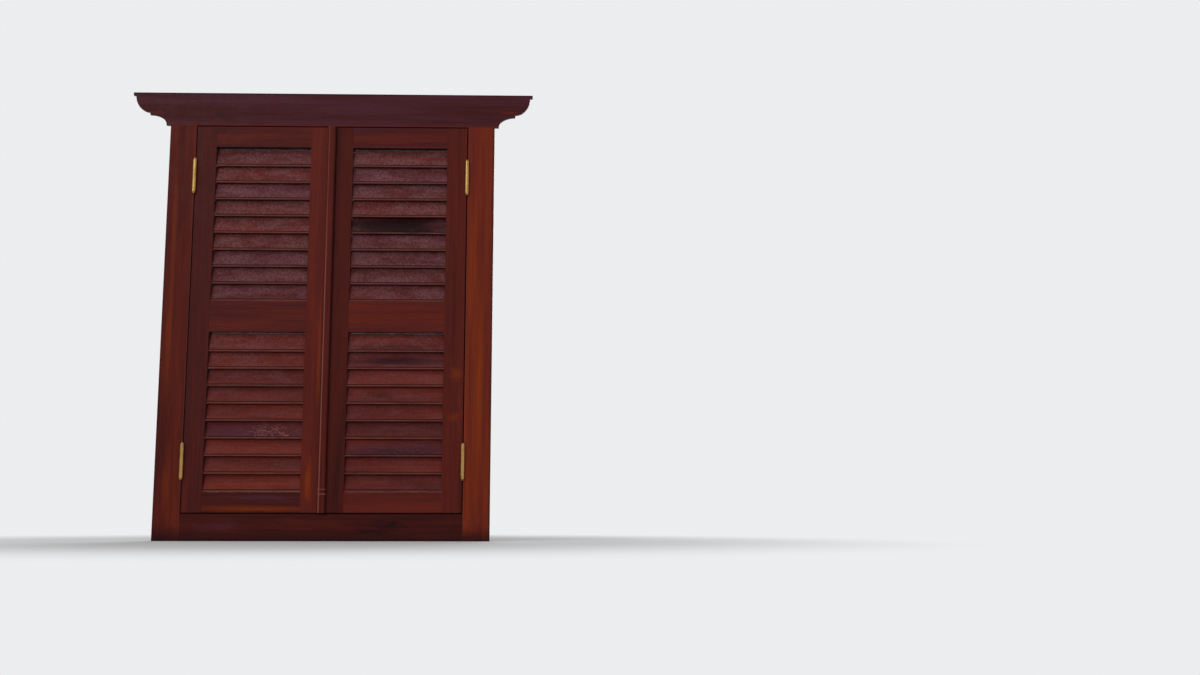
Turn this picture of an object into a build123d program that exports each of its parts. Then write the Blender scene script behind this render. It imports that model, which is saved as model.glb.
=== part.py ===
from build123d import *
from math import cos, radians, sin, tan
import os

# Louvred shutters: a pair of slatted leaves hung in their own wooden window frame.
# Millimetres. X runs to the right, Y into the wall and Z up.
# The origin is the middle of the frame's underside, in the plane of the wall's face.

# The frame
FRAME_W = 1000.0
POST_H = 1270.0
POST_W = 81.0
FRAME_PROUD = 10.0
SILL_RAIL_H = 80.0
STOP_T = 22.0
STOP_LAP = 30.0
STOP_PLAY = 2.0
TONGUE_W = 70.0
POST_ARRIS_R = 5.0

# The head casing and the ogee at its ends
HEAD_H = 104.0
HEAD_OVERHANG = 117.5
HEAD_TONGUE_H = 70.0
TIP_H = 9.5
TIP_STEP = 8.0
OVOLO_W = 46.0
OVOLO_H = 53.5
CAVETTO_W = 51.0
CAVETTO_H = 31.0
HEAD_FOOT_H = 2.0

# The leaves
LEAF_T = 38.0
SIDE_GAP = 3.0
HEAD_GAP = 3.0
SILL_GAP = 3.0
MEETING_GAP = 2.0
MEETING_BEVEL = 2.5
HINGE_STILE_W = 61.0
MEETING_STILE_W = 63.5
TOP_RAIL_H = 65.0
MID_RAIL_H = 95.0
BOTTOM_RAIL_H = 62.0
EDGE_R = 1.5

# The bead that covers the line where the leaves meet
BEAD_W = 26.0
BEAD_T = 12.0
BEAD_ARRIS_R = 5.5
BEAD_CLEAR = 0.3
BEAD_SPLICE_UP = 56.0
BEAD_SPLICE_GAP = 0.5

# The slats, and the slanted mortises that hold them
SLATS_PER_PANEL = 9
SLAT_T = 9.0
SLAT_ANGLE = 25.0
SLAT_LAP = 5.9
SLAT_HEADROOM = 0.8
SLAT_SEAT = 0.3
SLAT_SETBACK = 3.5
NOSE_H = 4.6
NOSE_R = 1.5
QUIRK_W = 3.4
QUIRK_FOOT_UP = 1.0
QUIRK_DEPTH = 2.0
SLAT_TENON_W = 38.0
SLAT_TENON_T = 7.0
SLAT_TENON_L = 9.0
SLAT_FIT = 0.2

# Mortise and tenon joints
TENON_T = 12.0
TENON_L = 42.0
TENON_SHOULDER = 8.0
POST_TENON_W = 30.0
SILL_TENON_L = 32.0
MORTISE_FIT = 0.2
MORTISE_END = 1.0

# The lift-off hinges
HINGE_FROM_TOP = 158.0
HINGE_FROM_BOTTOM = 152.0
BARREL_L = 100.0
BARREL_R = 6.0
BARREL_CLEAR = 0.5
KNUCKLE_PLAY = 0.2
CAP_TOP_R = 3.2
CAP_H = 5.5
PLATE_L = 94.0
PLATE_D = 24.0
PLATE_T = 2.0
PLATE_FIT = 0.2
PIN_R = 3.5
PIN_RUNNING = 0.05
PIN_SET = 0.01
PIN_DEPTH = 30.0
PIN_END = 1.0

# The screw holes that fasten the posts into the wall's opening
FIXING_R = 4.0
FIXING_FROM_SILL = 170.0
FIXING_FROM_HEAD = 170.0

# Places worked out from the sizes above
front_y = -FRAME_PROUD
leaf_back_y = front_y + LEAF_T
stop_y = leaf_back_y + STOP_PLAY
back_y = stop_y + STOP_T
mid_y = front_y + LEAF_T / 2

post_x = FRAME_W / 2
rebate_x = post_x - POST_W
stop_x = rebate_x - STOP_LAP
tongue_x = stop_x + TONGUE_W
post_mid_x = (rebate_x + tongue_x) / 2
stop_top_z = POST_H - STOP_LAP
flange_mid_y = front_y + FRAME_PROUD / 2

hinge_edge_x = rebate_x - SIDE_GAP
meeting_edge_x = MEETING_GAP / 2
hinge_in_x = hinge_edge_x - HINGE_STILE_W
meeting_in_x = meeting_edge_x + MEETING_STILE_W
panel_w = hinge_in_x - meeting_in_x
panel_x = (hinge_in_x + meeting_in_x) / 2

leaf_z = SILL_RAIL_H + SILL_GAP
leaf_top_z = POST_H - HEAD_GAP
leaf_h = leaf_top_z - leaf_z
panel_h = (leaf_h - TOP_RAIL_H - MID_RAIL_H - BOTTOM_RAIL_H) / 2
lower_panel_z = leaf_z + BOTTOM_RAIL_H
mid_rail_z = lower_panel_z + panel_h
upper_panel_z = mid_rail_z + MID_RAIL_H
top_rail_z = upper_panel_z + panel_h

slat_pitch = (panel_h - SLAT_LAP - SLAT_HEADROOM - SLAT_SEAT) / SLATS_PER_PANEL
slat_rise = slat_pitch + SLAT_LAP
slat_face_l = (slat_rise - NOSE_H) / cos(radians(SLAT_ANGLE))
slat_front_y = front_y + SLAT_SETBACK

hinge_x = (rebate_x + hinge_edge_x) / 2
hinge_y = front_y - BARREL_R - BARREL_CLEAR
hinge_levels = {"upper": leaf_top_z - HINGE_FROM_TOP, "lower": leaf_z + HINGE_FROM_BOTTOM}
fixing_levels = (FIXING_FROM_SILL, POST_H - FIXING_FROM_HEAD)

sides = {"left": -1, "right": 1}
rails = {
    "top_rail": (top_rail_z, TOP_RAIL_H),
    "mid_rail": (mid_rail_z, MID_RAIL_H),
    "bottom_rail": (leaf_z, BOTTOM_RAIL_H),
}
panels = {"upper": upper_panel_z, "lower": lower_panel_z}


def block(x_range, y_range, z_range, mode=Mode.ADD):
    """A plain block between two values on each axis, inside the part being built."""
    spans = [sorted(x_range), sorted(y_range), sorted(z_range)]
    with Locations([tuple((low + high) / 2 for low, high in spans)]):
        Box(*[high - low for low, high in spans], mode=mode)


def save(piece, name):
    piece.part.label = name
    export_step(piece.part, f"parts/{name}.step")


def slat_levels(panel_z):
    """Heights of the lower edges of a panel's slats, from the top one down."""
    bottom = panel_z + SLAT_SEAT
    return [bottom + i * slat_pitch for i in reversed(range(SLATS_PER_PANEL))]


def slat_points(z):
    """Corners of a slat's section in Y and Z, and the middle of its slanted board."""
    lean, rise = sin(radians(SLAT_ANGLE)), cos(radians(SLAT_ANGLE))
    nose_top = (slat_front_y, z + NOSE_H)
    quirk_foot = (
        nose_top[0] + QUIRK_FOOT_UP * lean + QUIRK_DEPTH * rise,
        nose_top[1] + QUIRK_FOOT_UP * rise - QUIRK_DEPTH * lean,
    )
    quirk_top = (nose_top[0] + QUIRK_W * lean, nose_top[1] + QUIRK_W * rise)
    top_front = (nose_top[0] + slat_face_l * lean, nose_top[1] + slat_face_l * rise)
    top_back = (top_front[0] + SLAT_T * rise, top_front[1] - SLAT_T * lean)
    foot_back = (top_back[0] - (top_back[1] - z) * tan(radians(SLAT_ANGLE)), z)
    middle = (
        (nose_top[0] + top_back[0]) / 2,
        (nose_top[1] + top_back[1]) / 2,
    )
    corners = [(slat_front_y, z), nose_top, quirk_foot, quirk_top, top_front, top_back, foot_back]
    return corners, middle


def post(side):
    """A side post: a body in the wall's opening, its flange on the wall's face and its stop."""
    with BuildPart() as piece:
        with BuildSketch():
            with BuildLine():
                Polyline(
                    (side * post_x, front_y),
                    (side * post_x, 0),
                    (side * tongue_x, 0),
                    (side * tongue_x, back_y),
                    (side * stop_x, back_y),
                    (side * stop_x, stop_y),
                    (side * rebate_x, stop_y),
                    (side * rebate_x, front_y),
                    close=True,
                )
            make_face()
        extrude(amount=POST_H)
        arrises = piece.edges().filter_by(Axis.Z).group_by(Axis.Y)[0].sort_by(Axis.X)
        fillet(arrises[0 if side < 0 else -1], POST_ARRIS_R)
        arrises = piece.edges().filter_by(Axis.Z).group_by(Axis.Y)[0].sort_by(Axis.X)
        fillet(arrises[-1 if side < 0 else 0], EDGE_R)
        # The head's stop passes over the tongue
        block(
            (side * stop_x, side * tongue_x), (stop_y, back_y), (stop_top_z, POST_H), Mode.SUBTRACT
        )
        # Tenon into the head
        block(
            (side * (post_mid_x - POST_TENON_W / 2), side * (post_mid_x + POST_TENON_W / 2)),
            (mid_y - TENON_T / 2, mid_y + TENON_T / 2),
            (POST_H - TENON_SHOULDER, POST_H + TENON_L),
        )
        # Mortise for the sill rail
        block(
            (side * rebate_x, side * (rebate_x + SILL_TENON_L + MORTISE_END)),
            (mid_y - TENON_T / 2 - MORTISE_FIT, mid_y + TENON_T / 2 + MORTISE_FIT),
            (TENON_SHOULDER - MORTISE_FIT, SILL_RAIL_H - TENON_SHOULDER + MORTISE_FIT),
            Mode.SUBTRACT,
        )
        # Seats for the hinge plates
        for level in hinge_levels.values():
            block(
                (side * rebate_x, side * (rebate_x + PLATE_T)),
                (front_y, front_y + PLATE_D + PLATE_FIT),
                (level - PLATE_L / 2 - PLATE_FIT, level + PLATE_L / 2 + PLATE_FIT),
                Mode.SUBTRACT,
            )
        # Screw holes through the tongue, sideways into the wall's opening
        for level in fixing_levels:
            with BuildSketch(Plane.YZ.offset(side * stop_x)):
                with Locations(((stop_y + back_y) / 2, level)):
                    Circle(FIXING_R)
            extrude(amount=side * TONGUE_W, mode=Mode.SUBTRACT)
    return piece


def sill_rail():
    """The frame's bottom rail, tenoned into both posts."""
    with BuildPart() as piece:
        with BuildSketch(Plane.YZ):
            with BuildLine():
                Polyline(
                    (front_y, 0),
                    (stop_y, 0),
                    (stop_y, SILL_RAIL_H),
                    (front_y, SILL_RAIL_H),
                    close=True,
                )
            make_face()
        extrude(amount=rebate_x, both=True)
        fillet(piece.edges().filter_by(Axis.X).group_by(Axis.Z)[-1].sort_by(Axis.Y)[0], EDGE_R)
        with BuildSketch(Plane.YZ):
            with BuildLine():
                Polyline(
                    (stop_y, 0),
                    (back_y, 0),
                    (back_y, SILL_RAIL_H + STOP_LAP),
                    (stop_y, SILL_RAIL_H + STOP_LAP),
                    close=True,
                )
            make_face()
        extrude(amount=stop_x, both=True)
        block(
            (-rebate_x - SILL_TENON_L, rebate_x + SILL_TENON_L),
            (mid_y - TENON_T / 2, mid_y + TENON_T / 2),
            (TENON_SHOULDER, SILL_RAIL_H - TENON_SHOULDER),
        )
    return piece


def head_casing():
    """The head: a wide flange with ogee ends, and its body and stop in the wall's opening."""
    head_top_z = POST_H + HEAD_H
    tip_x = post_x + HEAD_OVERHANG
    ovolo_x = tip_x - TIP_STEP - OVOLO_W
    ovolo_z = head_top_z - TIP_H
    cavetto_z = POST_H + HEAD_FOOT_H
    foot_x = ovolo_x - CAVETTO_W
    with BuildPart() as piece:
        with BuildSketch(Plane.XZ):
            with BuildLine():
                Polyline(
                    (0, head_top_z), (tip_x, head_top_z), (tip_x, ovolo_z), (ovolo_x + OVOLO_W, ovolo_z)
                )
                EllipticalCenterArc((ovolo_x, ovolo_z), OVOLO_W, OVOLO_H, 270, arc_size=90)
                Line((ovolo_x, ovolo_z - OVOLO_H), (ovolo_x, cavetto_z + CAVETTO_H))
                EllipticalCenterArc((ovolo_x, cavetto_z), CAVETTO_W, CAVETTO_H, 90, arc_size=90)
                Polyline((foot_x, cavetto_z), (foot_x, POST_H), (0, POST_H))
                mirror(about=Plane.YZ)
            make_face()
        extrude(amount=FRAME_PROUD)
        with BuildSketch(Plane.YZ):
            with BuildLine():
                Polyline(
                    (stop_y, stop_top_z),
                    (back_y, stop_top_z),
                    (back_y, POST_H + HEAD_TONGUE_H),
                    (flange_mid_y, POST_H + HEAD_TONGUE_H),
                    (flange_mid_y, POST_H),
                    (stop_y, POST_H),
                    close=True,
                )
            make_face()
        extrude(amount=tongue_x, both=True)
        for side in sides.values():
            middle = side * post_mid_x
            half = POST_TENON_W / 2 + MORTISE_FIT
            block(
                (middle - half, middle + half),
                (mid_y - TENON_T / 2 - MORTISE_FIT, mid_y + TENON_T / 2 + MORTISE_FIT),
                (POST_H, POST_H + TENON_L + MORTISE_END),
                Mode.SUBTRACT,
            )
    return piece


def stile(side, outer_x, inner_x, bevel):
    """An upright of a leaf, with mortises for the rails and slanted ones for the slats."""
    inward = side if inner_x > outer_x else -side
    with BuildPart() as piece:
        with BuildSketch(Plane.XY.offset(leaf_z)):
            with BuildLine():
                Polyline(
                    (side * outer_x, front_y),
                    (side * inner_x, front_y),
                    (side * inner_x, leaf_back_y),
                    (side * (outer_x + bevel), leaf_back_y),
                    close=True,
                )
            make_face()
        extrude(amount=leaf_h)
        front_edges = piece.faces().sort_by(Axis.Y)[0].edges()
        long_edges = front_edges.filter_by(Axis.Z).sort_by(Axis.X)
        fillet([long_edges[0 if inward > 0 else -1], *front_edges.filter_by(Axis.X)], EDGE_R)
        for z, height in rails.values():
            block(
                (side * inner_x, side * inner_x - inward * (TENON_L + MORTISE_END)),
                (mid_y - TENON_T / 2 - MORTISE_FIT, mid_y + TENON_T / 2 + MORTISE_FIT),
                (z + TENON_SHOULDER - MORTISE_FIT, z + height - TENON_SHOULDER + MORTISE_FIT),
                Mode.SUBTRACT,
            )
        with BuildSketch(Plane.YZ.offset(side * inner_x)):
            for panel_z in panels.values():
                with Locations([slat_points(z)[1] for z in slat_levels(panel_z)]):
                    Rectangle(
                        SLAT_TENON_T + 2 * SLAT_FIT, SLAT_TENON_W + 2 * SLAT_FIT, rotation=-SLAT_ANGLE
                    )
        extrude(amount=-inward * (SLAT_TENON_L + SLAT_FIT), mode=Mode.SUBTRACT)
    return piece


def hinge_stile(side):
    """The upright at the hinges, let in for their plates."""
    upright = stile(side, hinge_edge_x, hinge_in_x, 0)
    with BuildPart() as piece:
        add(upright.part)
        for level in hinge_levels.values():
            block(
                (side * (hinge_edge_x - PLATE_T), side * hinge_edge_x),
                (front_y, front_y + PLATE_D + PLATE_FIT),
                (level - PLATE_L / 2 - PLATE_FIT, level + PLATE_L / 2 + PLATE_FIT),
                Mode.SUBTRACT,
            )
    return piece


def leaf_rail(side, z, height):
    """A cross rail of a leaf with a tenon on each end."""
    with BuildPart() as piece:
        block(
            (side * meeting_in_x, side * hinge_in_x), (front_y, leaf_back_y), (z, z + height)
        )
        front_edges = piece.faces().sort_by(Axis.Y)[0].edges().filter_by(Axis.X).sort_by(Axis.Z)
        if z == leaf_z:
            fillet(front_edges[0], EDGE_R)
        if z == top_rail_z:
            fillet(front_edges[-1], EDGE_R)
        block(
            (side * (meeting_in_x - TENON_L), side * (hinge_in_x + TENON_L)),
            (mid_y - TENON_T / 2, mid_y + TENON_T / 2),
            (z + TENON_SHOULDER, z + height - TENON_SHOULDER),
        )
    return piece


def slat(side, z):
    """One fixed slat: a slanted board, its nose upright under a quirk, with a tenon each end."""
    corners, middle = slat_points(z)
    with BuildPart() as piece:
        with BuildSketch(Plane.YZ.offset(side * panel_x)) as section:
            with BuildLine():
                Polyline(*corners, close=True)
            make_face()
            fillet(section.vertices().group_by(Axis.Y)[0].sort_by(Axis.Z)[-1], NOSE_R)
        extrude(amount=panel_w / 2 - SLAT_FIT, both=True)
        with BuildSketch(Plane.YZ.offset(side * panel_x)):
            with Locations(middle):
                Rectangle(SLAT_TENON_T, SLAT_TENON_W, rotation=-SLAT_ANGLE)
        extrude(amount=panel_w / 2 + SLAT_TENON_L - SLAT_FIT, both=True)
    return piece


def meeting_bead():
    """The rounded bead on the left leaf, in two lengths with a butt joint near the foot."""
    splice_z = leaf_z + BEAD_SPLICE_UP
    lengths = [(leaf_z, splice_z), (splice_z + BEAD_SPLICE_GAP, leaf_top_z)]
    with BuildPart() as piece:
        for low_z, high_z in lengths:
            with BuildSketch(Plane.XY.offset(low_z)) as section:
                with BuildLine():
                    Polyline(
                        (-BEAD_W / 2, front_y),
                        (-BEAD_W / 2, front_y - BEAD_T),
                        (BEAD_W / 2, front_y - BEAD_T),
                        (BEAD_W / 2, front_y - BEAD_CLEAR),
                        (-meeting_edge_x, front_y - BEAD_CLEAR),
                        (-meeting_edge_x, front_y),
                        close=True,
                    )
                make_face()
                fillet(section.vertices().group_by(Axis.Y)[0], BEAD_ARRIS_R)
            extrude(amount=high_z - low_z)
    return piece


def hinge_half(side, level, on_leaf):
    """Half of a lift-off hinge: a knuckle with a tapered cap, and a plate let into the wood."""
    up = 1 if on_leaf else -1
    plate_x = side * hinge_edge_x if on_leaf else side * rebate_x
    into_wood = -side if on_leaf else side
    knuckle_z = level + up * KNUCKLE_PLAY / 2
    knuckle_l = BARREL_L / 2 - KNUCKLE_PLAY / 2
    bore_r = PIN_R + (PIN_RUNNING if on_leaf else PIN_SET)
    bore_l = PIN_DEPTH + (PIN_END if on_leaf else 0) - KNUCKLE_PLAY / 2
    foot = (side * hinge_x, hinge_y, knuckle_z)
    with BuildPart() as piece:
        with BuildSketch(Plane(origin=foot, x_dir=(1, 0, 0), z_dir=(0, -up, 0))):
            with BuildLine():
                Polyline(
                    (0, 0),
                    (BARREL_R, 0),
                    (BARREL_R, knuckle_l),
                    (CAP_TOP_R, knuckle_l + CAP_H),
                    (0, knuckle_l + CAP_H),
                    close=True,
                )
            make_face()
        revolve(axis=Axis(foot, (0, 0, 1)))
        block(
            (plate_x, plate_x + into_wood * PLATE_T),
            (front_y, front_y + PLATE_D),
            (level - PLATE_L / 2, level + PLATE_L / 2),
        )
        block(
            (plate_x, plate_x + into_wood * PLATE_T),
            (hinge_y, front_y),
            (knuckle_z, level + up * PLATE_L / 2),
        )
        with BuildSketch(Plane(origin=foot, x_dir=(1, 0, 0), z_dir=(0, 0, up))):
            Circle(bore_r)
        extrude(amount=bore_l, mode=Mode.SUBTRACT)
    return piece


def hinge_pins():
    """The four pins, each set in the frame's knuckle with its upper half in the leaf's."""
    with BuildPart() as piece:
        for side in sides.values():
            for level in hinge_levels.values():
                with BuildSketch(Plane.XY.offset(level - PIN_DEPTH)):
                    with Locations((side * hinge_x, hinge_y)):
                        Circle(PIN_R)
                extrude(amount=2 * PIN_DEPTH)
    return piece


def main():
    os.makedirs("parts", exist_ok=True)
    save(head_casing(), "head_casing")
    save(sill_rail(), "sill_rail")
    save(meeting_bead(), "meeting_bead")
    save(hinge_pins(), "hinge_pins")
    for name, side in sides.items():
        save(post(side), f"{name}_post")
        save(hinge_stile(side), f"{name}_hinge_stile")
        save(stile(side, meeting_edge_x, meeting_in_x, MEETING_BEVEL), f"{name}_meeting_stile")
        for rail, (z, height) in rails.items():
            save(leaf_rail(side, z, height), f"{name}_{rail}")
        for panel, panel_z in panels.items():
            for number, z in enumerate(slat_levels(panel_z), 1):
                save(slat(side, z), f"{name}_{panel}_slat_{number}")
        for place, level in hinge_levels.items():
            save(hinge_half(side, level, on_leaf=False), f"{name}_{place}_frame_hinge")
            save(hinge_half(side, level, on_leaf=True), f"{name}_{place}_leaf_hinge")


main()
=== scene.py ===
import math
import random

import bmesh
import bpy
from mathutils import Matrix, Vector


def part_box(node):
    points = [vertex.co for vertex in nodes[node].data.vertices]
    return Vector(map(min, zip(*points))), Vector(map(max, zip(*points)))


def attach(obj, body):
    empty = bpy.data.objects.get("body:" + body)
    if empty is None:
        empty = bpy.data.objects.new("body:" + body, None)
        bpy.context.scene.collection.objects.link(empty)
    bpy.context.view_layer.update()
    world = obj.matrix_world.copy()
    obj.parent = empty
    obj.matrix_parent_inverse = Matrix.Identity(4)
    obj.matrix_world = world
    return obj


# Louvred shutters: wood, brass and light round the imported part. Metres, in the part's frame.

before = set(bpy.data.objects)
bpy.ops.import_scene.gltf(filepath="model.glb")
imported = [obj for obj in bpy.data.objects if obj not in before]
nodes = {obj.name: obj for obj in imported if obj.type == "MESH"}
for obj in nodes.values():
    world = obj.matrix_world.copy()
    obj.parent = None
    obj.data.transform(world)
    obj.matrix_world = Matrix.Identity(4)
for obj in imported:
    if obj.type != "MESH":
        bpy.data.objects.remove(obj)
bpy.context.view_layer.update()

# How far the leaves' outer edges lie from the middle
stile_edge = abs(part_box("left_hinge_stile")[0].x)

X, Y, Z = range(3)

# Random numbers, always the same, and how far they shift a noise
draws = random.Random(11)
SHIFT_REACH = 40.0

# The camera, fitted to the photograph, with its turn in degrees
PHOTO_W = 1200
FOCAL_PX = 1300
SENSOR_MM = 36.0
CAMERA_AT = (0.7406, -3.9274, 0.0681)
CAMERA_YAW, CAMERA_PITCH, CAMERA_ROLL = 1.283, 7.922, 0.079

# Colours, linear
PLUM = (0.058, 0.0155, 0.0235)
UMBER = (0.040, 0.0076, 0.0068)
BROWN = (0.066, 0.0102, 0.0078)
RED = (0.098, 0.0135, 0.0082)
ORANGE = (0.170, 0.0262, 0.0036)
# Mauve of the slats' painted sheen, a reflection of the sky painted into their colour
SHEEN_MAUVE = (0.132, 0.0570, 0.0610)
# Worn paler brown, also a painted highlight on the slats' noses and the rebate's arris
WORN_AND_LIT = (0.130, 0.0450, 0.0330)
# Pale tan for the wood's figure, the bead's joint lines and its painted highlight
PALE_TAN = (0.250, 0.0900, 0.0720)
# Near black for soot and stains, also painted shade in quirks, under rails and beside the bead
SOOT_AND_SHADE = (0.010, 0.0036, 0.0042)
BRASS = (0.430, 0.255, 0.078)
BRASS_DULL = (0.170, 0.085, 0.026)
STEEL = (0.450, 0.440, 0.420)
PALE = (0.82, 0.82, 0.81)
PALE_SHADE = (0.30, 0.30, 0.30)
BACKDROP = (0.84, 0.85, 0.86)
DAYLIGHT = (0.30, 0.31, 0.33)
BLACK = (0.0, 0.0, 0.0)

# Lamps: place, aim, size, watts, colour, and whether reflections show the lamp
LAMPS = {
    "front": ((0.4, -5.6, 1.0), (0, 0, 0.6), (4.6, 1.8), 205, (1.0, 0.99, 0.98), False),
    "key": ((-2.6, -4.2, 3.2), (0, 0, 0.7), (2.4, 1.8), 62, (1.0, 0.99, 0.97), True),
    "back": ((0.5, 4.8, 2.4), (0, 0, 0.8), (3.6, 2.0), 130, (1.0, 1.0, 1.0), True),
}

# The floor, and where it starts and ends its fade into the background
FLOOR_SIZE = 60.0
FLOOR_DROP = 0.0002
FLOOR_ROUGHNESS = 0.9
FADE_FROM, FADE_TO = 0.7, 2.0

# The grain: its stops from plum to orange, its make-up, and how far it spreads round a board's own tone
GRAIN_STOPS = [(0.18, PLUM), (0.36, UMBER), (0.47, BROWN), (0.60, RED), (0.82, ORANGE)]
BANDS_SHARE, STREAKS_SHARE = 0.54, 0.46
GRAIN_SPREAD = 0.75
PORES_FROM, PORES_FULL, PORES_DARK = 0.64, 0.74, 0.55

# The varnish: its index, its roughness and what is added to that, its relief and the rounding of edges
WOOD_IOR = 1.15
BOARD_ROUGHNESS, SLAT_ROUGHNESS = 0.42, 0.34
SMOOTHER, ROUGHER, PORES_ROUGHER = 0.07, 0.10, 0.15
FIBRES_HEIGHT, PORES_DEPTH = 0.35, 0.5
WOOD_RELIEF, WOOD_BUMP = 0.0006, 0.5
ROUNDED_EDGE = 0.0009

# Bare metal: the depth of its scratches, and how strongly each kind shows them
SCRATCH_DEPTH = 0.0002
BRASS_BUMP, STEEL_BUMP = 0.25, 0.2

# What a noise turns into: two of its values, and what each becomes
FIBRES_SHADE = (0.25, 0.75, 0.84, 1.14)
# The slats' painted sheen: its coarse mottle and its patches
COARSE_SHEEN = (0.34, 0.66, 0.30, 1.0)
PATCHY_SHEEN = (0.34, 0.66, 0.25, 1.0)
# The painted sheen's speckle on the slats
SHEEN_SPECKS = (0.32, 0.68, 0.72, 1.30)
# The nose's wear and painted highlight
NOSE_WEAR_AND_HIGHLIGHT = (0.3, 0.7, 0.30, 0.80)
BRASS_DULLING = (0.42, 0.72, 0.0, 0.55)
BRASS_ROUGHNESS = (0.3, 0.7, 0.24, 0.40)
STEEL_STAINS = (0.3, 0.7, 0.0, 0.3)
STEEL_ROUGHNESS = (0.3, 0.7, 0.28, 0.42)

# Sizes of the part that the looks follow
SIDE_GAP = 0.003
NOSE_H = 0.0046
QUIRK_H = 0.0031
BEAD_HIGHLIGHT_IN = 0.0055
PLATE_MID_Y = 0.002

# Screws: sizes, the steps round half a head and round the slot's floor, and how far their tops draw in
SCREWS_APART = 0.032
SCREW_R = 0.0038
SLOT_FLOOR_R = SCREW_R * 0.97
SCREW_SLOT = 0.0010
SCREW_PROUD = 0.0003
SCREW_SUNK = 0.0005
HEAD_STEPS, HEAD_CROWN = 14, 0.94
SLOT_STEPS, SLOT_CROWN = 24, 0.98

# Wear, dirt, darkening, painted highlight and painted shade along an edge: how far each reaches from it, and
# its strength on it
REBATE_WEAR_AND_HIGHLIGHT = (0.0035, 0.40)
POST_SIDE_DARK = (0.008, 0.65)
HEAD_TOP_DARK = (0.006, 0.8)
HEAD_FOOT_RED = (0.007, 0.7)
SILL_FOOT_SOOT = (0.018, 0.7)
BEAD_SIDE_SHADE = (0.008, 0.75)
QUIRK_SHADE = (QUIRK_H * 0.8, 0.85)

# Lines on the bead, a painted highlight along its left arris and two pale ones at its joint: their reach,
# and height and strength of the two at its joint
BEAD_HIGHLIGHT_REACH = 0.0024
BEAD_JOINT_REACH = 0.0022
BEAD_JOINTS = ((0.1388, 0.85), (0.1528, 0.45))

# What changes with height: two heights, and the strength at each
BEAD_HIGHLIGHT_FADE = (0.70, 1.10, 0.75, 0.30)
FOOT_SOOT_FADE = (0.0, 0.055, 0.85, 0.0)
SHEEN_RISE = (0.10, 1.10, 0.20, 1.0)
SHEEN_SPECKS_RISE = (0.40, 0.80, 0.40, 1.0)

# How much a noise raises and lowers the soot at the posts' feet
FOOT_SOOT_RAGGED = 0.05

# Looks by how a face turns, among them painted sheen on slats, a painted highlight on their noses and
# painted shade under rails: the share of its normal at which each starts and is full, and its strength
SLAT_FACE = (0.25, 0.42)
SLAT_NOSE = (0.80, 0.97)
SLAT_BACK, SLAT_BACK_DARK = (0.0, 0.3), 0.6
UNDERSIDE, UNDERSIDE_SHADE = (0.5, 0.9), 0.85
BOARD_END, BOARD_END_DARK = (0.7, 0.95), 0.55

# Slats: how much they may differ, the fade above the nose's wear and painted highlight, and the curly
# figure's size and lines
LEAN_SPREAD = (-0.07, 0.09)
BRIGHT_SPREAD = (0.90, 1.12)
NOSE_FADE = 0.002
FIGURE_SIZE = (0.110, 0.050)
FIGURE_LINE = 0.06

# Blots: waves in a half size and in a metre of depth, where they end in half sizes, and steps between seeds
BLOT_WAVES, BLOT_DEEP_WAVES, BLOT_END = 1.8, 30.0, 1.15
SEED_STEP = 7.0

# The colour sockets of a Mix node
MIX_A, MIX_B, MIX_OUT = 6, 7, 2


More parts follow.
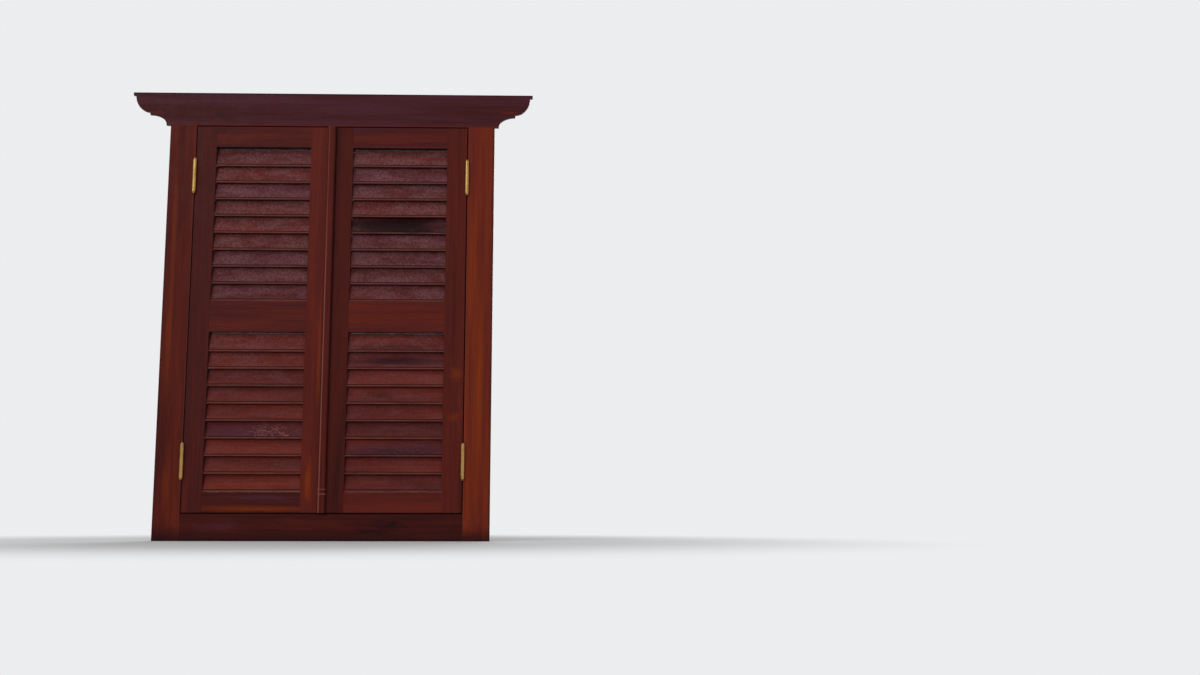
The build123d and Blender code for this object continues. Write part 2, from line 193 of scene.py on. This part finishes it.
class Graph:
    """A material's node tree, with short ways to add nodes to it."""

    def __init__(self, name):
        self.material = bpy.data.materials.new(name)
        self.material.use_nodes = True
        self.tree = self.material.node_tree
        self.shader = self.tree.nodes["Principled BSDF"]
        where = self.node("ShaderNodeTexCoord")
        self.point = where.outputs["Object"]
        self.axes = self.split(self.point)
        self.facing = self.split(where.outputs["Normal"])

    def node(self, kind, **settings):
        made = self.tree.nodes.new(kind)
        for name, value in settings.items():
            setattr(made, name, value)
        return made

    def put(self, socket, value):
        """Links an output to a socket, or writes a plain value there."""
        if isinstance(value, bpy.types.NodeSocket):
            self.tree.links.new(value, socket)
        elif socket.type == "RGBA":
            socket.default_value = (*value, 1.0)
        else:
            socket.default_value = value

    def split(self, vector):
        made = self.node("ShaderNodeSeparateXYZ")
        self.put(made.inputs[0], vector)
        return list(made.outputs)

    def math(self, operation, a, b=0.0, clamp=False):
        made = self.node("ShaderNodeMath", operation=operation, use_clamp=clamp)
        self.put(made.inputs[0], a)
        self.put(made.inputs[1], b)
        return made.outputs[0]

    def plus(self, a, b, clamp=False):
        return self.math("ADD", a, b, clamp)

    def minus(self, a, b):
        return self.math("SUBTRACT", a, b)

    def times(self, a, b):
        return self.math("MULTIPLY", a, b)

    def span(self, value, low, high, to_low=0.0, to_high=1.0):
        """Maps low to high smoothly on to another range."""
        made = self.node("ShaderNodeMapRange", interpolation_type="SMOOTHSTEP")
        for socket, number in zip(made.inputs, (value, low, high, to_low, to_high)):
            self.put(socket, number)
        return made.outputs[0]

    def mix(self, factor, a, b, blend="MIX"):
        made = self.node("ShaderNodeMix", data_type="RGBA", blend_type=blend)
        self.put(made.inputs[0], factor)
        self.put(made.inputs[MIX_A], a)
        self.put(made.inputs[MIX_B], b)
        return made.outputs[MIX_OUT]

    def noise(self, scales, shift, detail=3.0, rough=0.6, warp=0.0):
        """Noise with its own frequency on each axis, in waves per metre."""
        place = self.node("ShaderNodeMapping")
        self.put(place.inputs["Vector"], self.point)
        self.put(place.inputs["Scale"], scales)
        self.put(place.inputs["Location"], shift)
        made = self.node("ShaderNodeTexNoise")
        self.put(made.inputs["Vector"], place.outputs[0])
        self.put(made.inputs["Scale"], 1.0)
        self.put(made.inputs["Detail"], detail)
        self.put(made.inputs["Roughness"], rough)
        self.put(made.inputs["Distortion"], warp)
        return made.outputs[0]

    def ramp(self, value, stops):
        made = self.node("ShaderNodeValToRGB")
        self.put(made.inputs[0], value)
        bands = made.color_ramp.elements
        while len(bands) < len(stops):
            bands.new(0.5)
        for band, (place, colour) in zip(bands, stops):
            band.position = place
            band.color = (*colour, 1.0)
        return made.outputs[0]

    def bump(self, height, strength, distance, normal=None):
        """Bends the shader's normal by a height."""
        made = self.node("ShaderNodeBump")
        self.put(made.inputs["Strength"], strength)
        self.put(made.inputs["Distance"], distance)
        self.put(made.inputs["Height"], height)
        if normal is not None:
            self.put(made.inputs["Normal"], normal)
        self.put(self.shader.inputs["Normal"], made.outputs[0])

    def near(self, axis, at, reach):
        """1 at a place on an axis, down to 0 a reach away on either side."""
        away = self.math("ABSOLUTE", self.minus(self.axes[axis], at))
        return self.span(away, 0.0, reach, 1.0, 0.0)

    def radius(self, a, b):
        """The distance that two lengths at right angles make."""
        return self.math("SQRT", self.plus(self.times(a, a), self.times(b, b)))

    def blot(self, centre, size, ragged, seed):
        """A ragged oval on the front, in X and Z, 1 in the middle and 0 outside."""
        across = self.math("DIVIDE", self.minus(self.axes[X], centre[0]), size[0])
        upward = self.math("DIVIDE", self.minus(self.axes[Z], centre[1]), size[1])
        away = self.radius(across, upward)
        waves = [BLOT_WAVES / size[0], BLOT_DEEP_WAVES, BLOT_WAVES / size[1]]
        edge = self.noise(waves, [seed, seed, 0.0], detail=5.0, rough=0.7)
        torn = self.plus(away, self.times(self.minus(edge, 0.5), 2.0 * ragged))
        return self.span(torn, 0.0, BLOT_END, 1.0, 0.0)


def along(axis, across, lengthwise):
    """Noise frequencies that run with the grain."""
    scales = [across] * 3
    scales[axis] = lengthwise
    return scales


def shift():
    """A random place in a noise."""
    return [draws.uniform(-SHIFT_REACH, SHIFT_REACH) for _ in range(3)]


# Marks that the photograph shows: centre and half size in X and Z, colour, strength and raggedness
MARKS = {
    "head_casing": [
        ((-0.352, 1.305), (0.022, 0.010), SOOT_AND_SHADE, 0.75, 1.1),
        ((-0.430, 1.308), (0.120, 0.014), UMBER, 0.50, 1.3),
        ((-0.545, 1.312), (0.034, 0.004), RED, 0.75, 1.4),
        ((-0.585, 1.343), (0.014, 0.008), RED, 0.60, 1.4),
        ((0.551, 1.318), (0.040, 0.006), RED, 0.85, 1.2),
        ((0.120, 1.330), (0.260, 0.010), PLUM, 0.55, 1.4),
    ],
    "sill_rail": [
        ((0.195, 0.046), (0.060, 0.016), SOOT_AND_SHADE, 0.80, 1.5),
        ((0.157, 0.026), (0.075, 0.012), SOOT_AND_SHADE, 0.75, 1.5),
        ((-0.310, 0.046), (0.090, 0.018), PLUM, 0.55, 1.3),
        ((-0.060, 0.050), (0.160, 0.020), RED, 0.35, 1.3),
    ],
    "left_bottom_rail": [
        ((-0.195, 0.096), (0.300, 0.012), ORANGE, 0.62, 0.8),
        ((-0.171, 0.127), (0.150, 0.012), PLUM, 0.90, 0.9),
    ],
    "right_bottom_rail": [((0.230, 0.110), (0.160, 0.030), RED, 0.60, 1.2)],
    "right_hinge_stile": [
        ((0.392, 0.500), (0.022, 0.026), ORANGE, 0.48, 1.0),
        ((0.388, 0.370), (0.026, 0.018), ORANGE, 0.38, 1.0),
    ],
    "left_meeting_stile": [
        ((-0.042, 0.172), (0.014, 0.075), ORANGE, 0.80, 0.9),
        ((-0.020, 0.560), (0.008, 0.200), ORANGE, 0.55, 0.9),
    ],
    "right_post": [
        ((0.462, 0.430), (0.020, 0.440), ORANGE, 0.88, 0.8),
        ((0.480, 0.900), (0.010, 0.300), ORANGE, 0.40, 0.9),
    ],
    "left_post": [
        ((-0.476, 0.600), (0.018, 0.260), ORANGE, 0.45, 0.9),
        ((-0.463, 0.180), (0.014, 0.110), ORANGE, 0.40, 0.9),
        ((-0.474, 0.960), (0.010, 0.280), ORANGE, 0.40, 0.9),
    ],
    "right_upper_slat_5": [
        ((0.215, 0.958), (0.270, 0.080), SOOT_AND_SHADE, 0.88, 0.9),
        ((0.160, 0.960), (0.120, 0.044), SOOT_AND_SHADE, 0.75, 1.4),
        ((0.270, 0.958), (0.110, 0.036), SOOT_AND_SHADE, 0.75, 1.4),
        ((0.320, 0.962), (0.050, 0.018), PLUM, 0.55, 1.2),
    ],
    "right_lower_slat_2": [
        ((0.215, 0.540), (0.260, 0.026), PLUM, 0.80, 0.8),
        ((0.205, 0.540), (0.180, 0.017), SOOT_AND_SHADE, 0.75, 0.9),
    ],
    "right_lower_slat_4": [((0.165, 0.436), (0.060, 0.014), SOOT_AND_SHADE, 0.55, 1.2)],
    "right_lower_slat_7": [
        ((0.225, 0.264), (0.300, 0.050), PLUM, 0.90, 0.7),
        ((0.210, 0.264), (0.160, 0.020), SOOT_AND_SHADE, 0.45, 1.2),
    ],
    "left_lower_slat_6": [((-0.220, 0.317), (0.300, 0.055), PLUM, 0.92, 0.6)],
    "left_upper_slat_3": [((-0.130, 1.072), (0.060, 0.014), PLUM, 0.75, 1.1)],
}

# Slats with a curly paler figure: its centre in X and Z, and its strength
FIGURED = {"left_lower_slat_6": ((-0.150, 0.318), 0.70), "right_lower_slat_7": ((0.235, 0.262), 0.20)}

# How far each board leans from plum (0) to orange (1), and how bright it is, and the same for slats
TONES = {
    "head_casing": (0.26, 0.97), "sill_rail": (0.40, 0.71),
    "left_post": (0.51, 0.88), "right_post": (0.65, 1.08), "meeting_bead": (0.54, 0.79),
    "left_hinge_stile": (0.38, 1.10), "left_meeting_stile": (0.54, 1.00),
    "left_top_rail": (0.40, 1.10), "left_mid_rail": (0.44, 1.18), "left_bottom_rail": (0.42, 0.88),
    "right_hinge_stile": (0.48, 0.98), "right_meeting_stile": (0.47, 0.75),
    "right_top_rail": (0.41, 1.14), "right_mid_rail": (0.52, 1.04), "right_bottom_rail": (0.51, 1.13),
}
UPPER_SLATS, LOWER_SLATS = (0.37, 1.58), (0.48, 1.28)


def board_colour(g, grain, lean, bright):
    """Streaked mahogany: broad bands, finer streaks and short dark pores along the grain."""
    bands = g.noise(along(grain, 22.0, 1.3), shift(), rough=0.5, warp=0.6)
    streaks = g.noise(along(grain, 130.0, 3.5), shift(), detail=4.0, warp=0.2)
    fibres = g.noise(along(grain, 900.0, 14.0), shift())
    blend = g.plus(g.times(bands, BANDS_SHARE), g.times(streaks, STREAKS_SHARE))
    leaned = g.plus(g.times(g.minus(blend, 0.5), GRAIN_SPREAD), lean, clamp=True)
    lit = g.node("ShaderNodeVectorMath", operation="SCALE")
    g.put(lit.inputs[0], g.ramp(leaned, GRAIN_STOPS))
    g.put(lit.inputs["Scale"], g.times(g.span(fibres, *FIBRES_SHADE), bright))
    fine = g.noise(along(grain, 1500.0, 45.0), shift(), detail=2.0, rough=0.5)
    pores = g.span(fine, PORES_FROM, PORES_FULL)
    return g.mix(g.times(pores, PORES_DARK), lit.outputs[0], UMBER), fibres, pores


def marked(g, colour, name):
    """Adds the marks that the photograph shows on this piece."""
    for number, (centre, size, tint, strength, ragged) in enumerate(MARKS.get(name, [])):
        spot = g.times(g.blot(centre, size, ragged, SEED_STEP * number), strength)
        colour = g.mix(spot, colour, tint)
    return colour


def edged(g, colour, axis, at, reach, strength, tint):
    """Blends a tint over an edge or a line that lies at a place on an axis."""
    return g.mix(g.times(g.near(axis, at, reach), strength), colour, tint)


def finish_wood(g, colour, fibres, pores, roughness, ripple):
    """Satin varnish over the grain, with its ripple and open pores."""
    uneven = g.noise([34.0] * 3, shift())
    satin = g.span(uneven, 0.3, 0.7, roughness - SMOOTHER, roughness + ROUGHER)
    height = g.minus(g.plus(g.times(fibres, FIBRES_HEIGHT), ripple), g.times(pores, PORES_DEPTH))
    soft = g.node("ShaderNodeBevel", samples=4)
    g.put(soft.inputs["Radius"], ROUNDED_EDGE)
    g.put(g.shader.inputs["Base Color"], colour)
    g.put(g.shader.inputs["Roughness"], g.plus(satin, g.times(pores, PORES_ROUGHER)))
    g.put(g.shader.inputs["IOR"], WOOD_IOR)
    g.bump(height, WOOD_BUMP, WOOD_RELIEF, soft.outputs[0])
    return g.material


def paint(name, material):
    mesh = nodes[name].data
    mesh.materials.clear()
    mesh.materials.append(material)


def board(name, grain):
    """A rail, stile, post, casing or bead: streaked wood with its marks, wear and dirt, and painted shade
    and highlights on some of its edges and faces.
    """
    g = Graph(name + "_wood")
    low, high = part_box(name)
    colour, fibres, pores = board_colour(g, grain, *TONES[name])
    colour = marked(g, colour, name)
    if name.endswith("_post"):
        side = -1 if name.startswith("left") else 1
        outer = side * max(abs(low.x), abs(high.x))
        # Paler along the rebate's arris: wear, and a painted highlight
        colour = edged(g, colour, X, side * (stile_edge + SIDE_GAP), *REBATE_WEAR_AND_HIGHLIGHT, WORN_AND_LIT)
        colour = edged(g, colour, X, outer, *POST_SIDE_DARK, UMBER)
        ragged = g.noise([26.0, 26.0, 9.0], shift(), detail=4.0)
        height = g.plus(g.axes[Z], g.times(g.minus(ragged, 0.5), FOOT_SOOT_RAGGED))
        colour = g.mix(g.span(height, *FOOT_SOOT_FADE), colour, SOOT_AND_SHADE)
    if name == "head_casing":
        foot_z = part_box("left_top_rail")[1].z + SIDE_GAP
        # Darker along the head's top edge
        colour = edged(g, colour, Z, high.z, *HEAD_TOP_DARK, SOOT_AND_SHADE)
        colour = edged(g, colour, Z, foot_z, *HEAD_FOOT_RED, RED)
    if name == "sill_rail":
        colour = edged(g, colour, Z, 0.0, *SILL_FOOT_SOOT, SOOT_AND_SHADE)
    if name == "meeting_bead":
        bead_highlight = g.span(g.axes[Z], *BEAD_HIGHLIGHT_FADE)
        # Painted shade down the bead's right side
        colour = edged(g, colour, X, high.x, *BEAD_SIDE_SHADE, SOOT_AND_SHADE)
        # Painted highlight along the bead's left arris, weaker higher up
        colour = edged(g, colour, X, low.x + BEAD_HIGHLIGHT_IN, BEAD_HIGHLIGHT_REACH, bead_highlight, PALE_TAN)
        for joint_z, strength in BEAD_JOINTS:
            colour = edged(g, colour, Z, joint_z, BEAD_JOINT_REACH, strength, PALE_TAN)
    if name.endswith("_rail"):
        # Painted shade on faces that turn down
        under = g.span(g.times(g.facing[Z], -1.0), *UNDERSIDE)
        colour = g.mix(g.times(under, UNDERSIDE_SHADE), colour, SOOT_AND_SHADE)
    ends = g.span(g.math("ABSOLUTE", g.facing[grain]), *BOARD_END)
    colour = g.mix(g.times(ends, BOARD_END_DARK), colour, UMBER)
    ripple = g.noise([110.0] * 3, shift(), detail=2.0, rough=0.5)
    paint(name, finish_wood(g, colour, fibres, pores, BOARD_ROUGHNESS, ripple))


def slat(name, tone):
    """A slat: streaked, with a painted sheen and painted speckle on its face, a worn nose with a painted
    highlight, and painted shade in the quirk above it.
    """
    g = Graph(name + "_wood")
    nose_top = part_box(name)[0].z + NOSE_H
    lean = tone[0] + draws.uniform(*LEAN_SPREAD)
    bright = tone[1] * draws.uniform(*BRIGHT_SPREAD)
    colour, fibres, pores = board_colour(g, X, lean, bright)
    coarse = g.noise([230.0, 200.0, 170.0], shift(), detail=4.0, rough=0.75)
    patches = g.noise([11.0, 16.0, 28.0], shift(), warp=0.6)
    face = g.span(g.facing[Z], *SLAT_FACE)
    # Painted sheen: mauve reflection of the sky, mottled, on the upward faces, stronger higher up
    sheen_mottle = g.times(g.span(coarse, *COARSE_SHEEN), g.span(patches, *PATCHY_SHEEN))
    painted_sheen = g.times(g.times(sheen_mottle, face), g.span(g.axes[Z], *SHEEN_RISE))
    colour = g.mix(painted_sheen, colour, SHEEN_MAUVE)
    # Painted speckle of the sheen on the upward faces, stronger higher up
    sheen_speck_noise = g.noise([150.0, 150.0, 125.0], shift(), rough=0.7)
    sheen_speck_mask = g.times(face, g.span(g.axes[Z], *SHEEN_SPECKS_RISE))
    colour = g.mix(sheen_speck_mask, colour, g.span(sheen_speck_noise, *SHEEN_SPECKS), "MULTIPLY")
    colour = marked(g, colour, name)
    if name in FIGURED:
        centre, strength = FIGURED[name]
        swirl = g.noise([26.0, 30.0, 60.0], shift(), detail=1.0, rough=0.4, warp=2.4)
        lines = g.span(g.math("ABSOLUTE", g.minus(swirl, 0.5)), 0.0, FIGURE_LINE, 1.0, 0.0)
        here = g.blot(centre, FIGURE_SIZE, ragged=0.5, seed=3.0)
        colour = g.mix(g.times(g.times(lines, here), strength), colour, PALE_TAN)
    # The nose's front face paler: wear, and a painted highlight
    front = g.span(g.times(g.facing[Y], -1.0), *SLAT_NOSE)
    nose = g.times(front, g.span(g.axes[Z], nose_top, nose_top + NOSE_FADE, 1.0, 0.0))
    nose_rub_and_highlight = g.noise([14.0, 60.0, 60.0], shift())
    colour = g.mix(g.times(nose, g.span(nose_rub_and_highlight, *NOSE_WEAR_AND_HIGHLIGHT)), colour, WORN_AND_LIT)
    # Painted shade in the quirk above the nose
    colour = edged(g, colour, Z, nose_top + QUIRK_H / 2, *QUIRK_SHADE, SOOT_AND_SHADE)
    back = g.span(g.facing[Y], *SLAT_BACK)
    colour = g.mix(g.times(back, SLAT_BACK_DARK), colour, UMBER)
    ripple = g.plus(coarse, g.noise([160.0, 220.0, 260.0], shift(), detail=2.0, rough=0.5))
    paint(name, finish_wood(g, colour, fibres, pores, SLAT_ROUGHNESS, ripple))


def finish_metal(g, colour, fine, roughness, strength):
    """Bare metal whose roughness and scratches follow a fine noise."""
    g.put(g.shader.inputs["Base Color"], colour)
    g.put(g.shader.inputs["Metallic"], 1.0)
    g.put(g.shader.inputs["Roughness"], g.span(fine, *roughness))
    g.bump(fine, strength, SCRATCH_DEPTH)
    return g.material


def brass():
    """Polished brass, dulled in patches, with fine scratches."""
    g = Graph("hinge_brass")
    dull = g.noise([60.0, 60.0, 25.0], shift(), detail=4.0)
    fine = g.noise([1400.0, 1400.0, 120.0], shift(), detail=2.0, rough=0.5)
    colour = g.mix(g.span(dull, *BRASS_DULLING), BRASS, BRASS_DULL)
    return finish_metal(g, colour, fine, BRASS_ROUGHNESS, BRASS_BUMP)


def steel():
    """Bright steel for the pins, lightly stained."""
    g = Graph("pin_steel")
    fine = g.noise([900.0, 900.0, 60.0], shift(), detail=2.0, rough=0.5)
    colour = g.mix(g.span(fine, *STEEL_STAINS), STEEL, BRASS_DULL)
    return finish_metal(g, colour, fine, STEEL_ROUGHNESS, STEEL_BUMP)


def ring(bm, place, points, height):
    return [bm.verts.new(place @ Vector((a, b, height))) for a, b in points]


def bridge(bm, lower, upper):
    count = len(lower)
    for i in range(count):
        j = (i + 1) % count
        bm.faces.new((lower[i], lower[j], upper[j], upper[i]))


def lump(bm, place, points, heights, crown):
    """A closed low block whose top is drawn in to the crown's share of its outline."""
    middle = sum((Vector(p) for p in points), Vector((0, 0))) / len(points)
    shrunk = [middle + (Vector(p) - middle) * crown for p in points]
    foot, rim, top = (ring(bm, place, p, h) for p, h in zip((points, points, shrunk), heights))
    bridge(bm, foot, rim)
    bridge(bm, rim, top)
    bm.faces.new(list(reversed(foot)))
    bm.faces.new(top)


def screw_head(bm, place, turn):
    """A slotted countersunk head: two half discs with the slot between them over its floor."""
    cut = math.asin(SCREW_SLOT / 2 / SCREW_R)
    place = place @ Matrix.Rotation(turn, 4, "Z")
    for start in (0.0, math.pi):
        sweep = [start + cut + (math.pi - 2 * cut) * i / HEAD_STEPS for i in range(HEAD_STEPS + 1)]
        half = [(SCREW_R * math.cos(t), SCREW_R * math.sin(t)) for t in sweep]
        lump(bm, place, half, (-SCREW_SUNK, SCREW_PROUD * 0.5, SCREW_PROUD), HEAD_CROWN)
    turns = [math.tau * i / SLOT_STEPS for i in range(SLOT_STEPS)]
    floor = [(SLOT_FLOOR_R * math.cos(t), SLOT_FLOOR_R * math.sin(t)) for t in turns]
    lump(bm, place, floor, (-SCREW_SUNK, -SCREW_PROUD, -SCREW_PROUD * 0.5), SLOT_CROWN)


def plate_screws(side, level, on_leaf, material):
    """Three screws on one hinge plate, seen when the leaf is open."""
    sign = -1 if side == "left" else 1
    half = "leaf" if on_leaf else "frame"
    middle = (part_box(f"{side}_{level}_leaf_hinge")[0].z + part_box(f"{side}_{level}_frame_hinge")[1].z) / 2
    face_x = sign * (stile_edge if on_leaf else stile_edge + SIDE_GAP)
    outward = sign if on_leaf else -sign
    bm = bmesh.new()
    for step in (-1, 0, 1):
        at = Matrix.Translation((face_x, PLATE_MID_Y, middle + step * SCREWS_APART))
        place = at @ Matrix.Rotation(outward * math.pi / 2, 4, "Y")
        screw_head(bm, place, draws.uniform(0.0, math.pi))
    bmesh.ops.recalc_face_normals(bm, faces=bm.faces)
    name = f"{side}_{level}_{half}_screws"
    mesh = bpy.data.meshes.new(name)
    bm.to_mesh(mesh)
    bm.free()
    mesh.materials.append(material)
    piece = bpy.data.objects.new(name, mesh)
    bpy.context.scene.collection.objects.link(piece)
    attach(piece, f"{side}_leaf" if on_leaf else "frame")


def shown(tree):
    """1 for the rays that show the backdrop and the floor as they are, 0 for those that only light."""
    seen = tree.nodes.new("ShaderNodeLightPath")
    most = seen.outputs["Is Camera Ray"]
    for other in ("Is Glossy Ray", "Is Transmission Ray"):
        both = tree.nodes.new("ShaderNodeMath")
        both.operation = "MAXIMUM"
        tree.links.new(most, both.inputs[0])
        tree.links.new(seen.outputs[other], both.inputs[1])
        most = both.outputs[0]
    return most


def build_floor():
    """A pale floor that fades into the background."""
    bpy.ops.mesh.primitive_plane_add(size=FLOOR_SIZE, location=(0, 0, -FLOOR_DROP))
    floor = bpy.context.object
    floor.name = "floor"
    g = Graph("pale_floor")
    direct = shown(g.tree)
    far = g.times(direct, g.span(g.radius(g.axes[X], g.axes[Y]), FADE_FROM, FADE_TO))
    plain = g.mix(direct, PALE_SHADE, PALE)
    g.put(g.shader.inputs["Base Color"], g.mix(far, plain, BLACK))
    g.put(g.shader.inputs["Emission Color"], BACKDROP)
    g.put(g.shader.inputs["Emission Strength"], far)
    g.put(g.shader.inputs["Roughness"], FLOOR_ROUGHNESS)
    g.put(g.shader.inputs["Specular IOR Level"], 0.0)
    floor.data.materials.append(g.material)


def build_world():
    """An even sky that lights less than it shows."""
    world = bpy.data.worlds.new("soft_studio")
    bpy.context.scene.world = world
    world.use_nodes = True
    tree = world.node_tree
    light = tree.nodes["Background"]
    sky = tree.nodes.new("ShaderNodeMix")
    sky.data_type = "RGBA"
    tree.links.new(shown(tree), sky.inputs[0])
    sky.inputs[MIX_A].default_value = (*DAYLIGHT, 1.0)
    sky.inputs[MIX_B].default_value = (*BACKDROP, 1.0)
    tree.links.new(sky.outputs[MIX_OUT], light.inputs["Color"])
    light.inputs["Strength"].default_value = 1.0


def panel_light(name, at, aim, size, watts, colour, mirrored):
    """A large soft panel turned towards a point, shown or left out in reflections."""
    data = bpy.data.lights.new(name, "AREA")
    data.shape = "RECTANGLE"
    data.size, data.size_y = size
    data.energy = watts
    data.color = colour
    lamp = bpy.data.objects.new(name, data)
    bpy.context.scene.collection.objects.link(lamp)
    lamp.location = at
    lamp.rotation_euler = (Vector(aim) - Vector(at)).to_track_quat("-Z", "Y").to_euler()
    lamp.visible_glossy = mirrored


def build_camera():
    data = bpy.data.cameras.new("camera")
    data.sensor_width = SENSOR_MM
    data.lens = SENSOR_MM * FOCAL_PX / PHOTO_W
    camera = bpy.data.objects.new("camera", data)
    bpy.context.scene.collection.objects.link(camera)
    turn = (Matrix.Rotation(math.radians(-CAMERA_YAW), 4, "Z")
            @ Matrix.Rotation(math.radians(90 + CAMERA_PITCH), 4, "X")
            @ Matrix.Rotation(math.radians(CAMERA_ROLL), 4, "Z"))
    camera.matrix_world = Matrix.Translation(CAMERA_AT) @ turn
    bpy.context.scene.camera = camera


for piece_name in TONES:
    upright = piece_name.endswith(("_post", "_stile")) or piece_name == "meeting_bead"
    board(piece_name, Z if upright else X)
for piece_name in sorted(nodes):
    if "_upper_slat_" in piece_name:
        slat(piece_name, UPPER_SLATS)
    elif "_lower_slat_" in piece_name:
        slat(piece_name, LOWER_SLATS)

hinge_metal = brass()
for piece_name in nodes:
    if piece_name.endswith(("_frame_hinge", "_leaf_hinge")):
        paint(piece_name, hinge_metal)
paint("hinge_pins", steel())
for leaf_side in ("left", "right"):
    for hinge_level in ("upper", "lower"):
        plate_screws(leaf_side, hinge_level, True, hinge_metal)
        plate_screws(leaf_side, hinge_level, False, hinge_metal)

build_floor()
build_world()
for lamp_name, lamp_values in LAMPS.items():
    panel_light(lamp_name, *lamp_values)
view = bpy.context.scene.view_settings
view.view_transform = "Standard"
build_camera()
